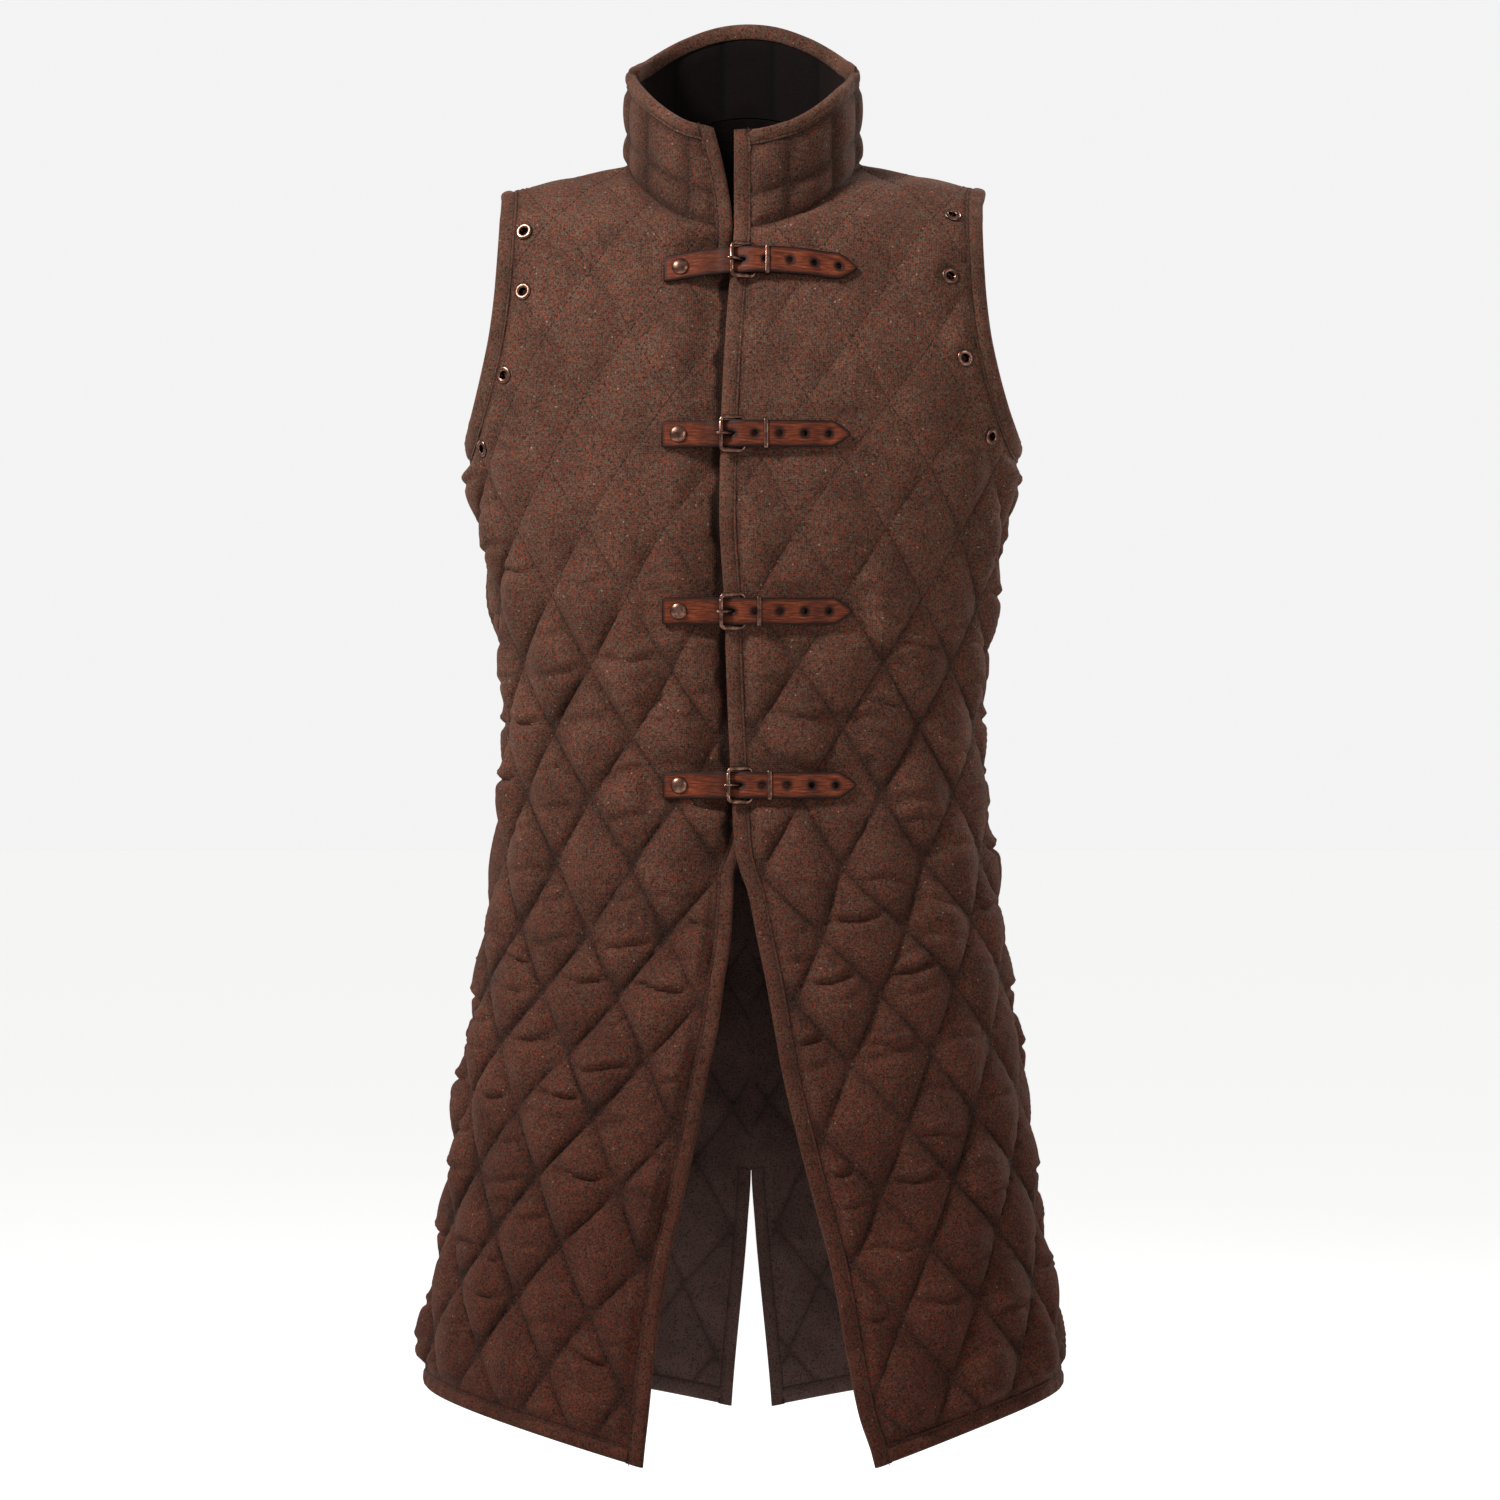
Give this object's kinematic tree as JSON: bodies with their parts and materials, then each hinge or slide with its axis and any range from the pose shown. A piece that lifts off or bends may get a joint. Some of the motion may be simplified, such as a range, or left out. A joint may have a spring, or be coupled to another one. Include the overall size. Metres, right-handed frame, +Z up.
{
  "type": "sleeveless quilted gambeson",
  "caption": "Sleeveless brown wool gambeson, quilted in diamonds, with a stand collar, buckled leather straps and slit skirts.",
  "frame": {"origin": "between the shoulder seams at the sides of the neck, where the wearer carries the garment", "axes": "+Z up, -Y the front, +X the wearer's left; standing as worn, with no wearer"},
  "size_m": [0.4698, 0.2913, 1.0499],
  "materials": {
    "quilted_wool": "matt tweed",
    "binding_wool": "matt tweed",
    "strap_leather": "satin",
    "antique_metal": "antique, brushed"
  },
  "bodies": {
    "root": {"front_left": "quilted_wool", "back_left": "quilted_wool", "front_right": "quilted_wool", "back_right": "quilted_wool", "collar": "quilted_wool", "collar_rim_binding": "binding_wool", "front_binding_left": "binding_wool", "hem_binding_left": "binding_wool", "back_slit_binding_left": "binding_wool", "armhole_binding_left": "binding_wool", "front_binding_right": "binding_wool", "hem_binding_right": "binding_wool", "back_slit_binding_right": "binding_wool", "armhole_binding_right": "binding_wool", "strap_1": "strap_leather", "chape_1": "strap_leather", "rivet_1": "antique_metal", "buckle_1": "antique_metal", "prong_1": "antique_metal", "keeper_1": "antique_metal", "strap_2": "strap_leather", "chape_2": "strap_leather", "rivet_2": "antique_metal", "buckle_2": "antique_metal", "prong_2": "antique_metal", "keeper_2": "antique_metal", "strap_3": "strap_leather", "chape_3": "strap_leather", "rivet_3": "antique_metal", "buckle_3": "antique_metal", "prong_3": "antique_metal", "keeper_3": "antique_metal", "strap_4": "strap_leather", "chape_4": "strap_leather", "rivet_4": "antique_metal", "buckle_4": "antique_metal", "prong_4": "antique_metal", "keeper_4": "antique_metal", "eyelet_left_front_1": "antique_metal", "eyelet_left_front_2": "antique_metal", "eyelet_left_front_3": "antique_metal", "eyelet_left_front_4": "antique_metal", "eyelet_left_back_1": "antique_metal", "eyelet_left_back_2": "antique_metal", "eyelet_left_back_3": "antique_metal", "eyelet_left_back_4": "antique_metal", "eyelet_right_front_1": "antique_metal", "eyelet_right_front_2": "antique_metal", "eyelet_right_front_3": "antique_metal", "eyelet_right_front_4": "antique_metal", "eyelet_right_back_1": "antique_metal", "eyelet_right_back_2": "antique_metal", "eyelet_right_back_3": "antique_metal", "eyelet_right_back_4": "antique_metal"}
  },
  "joints": []
}
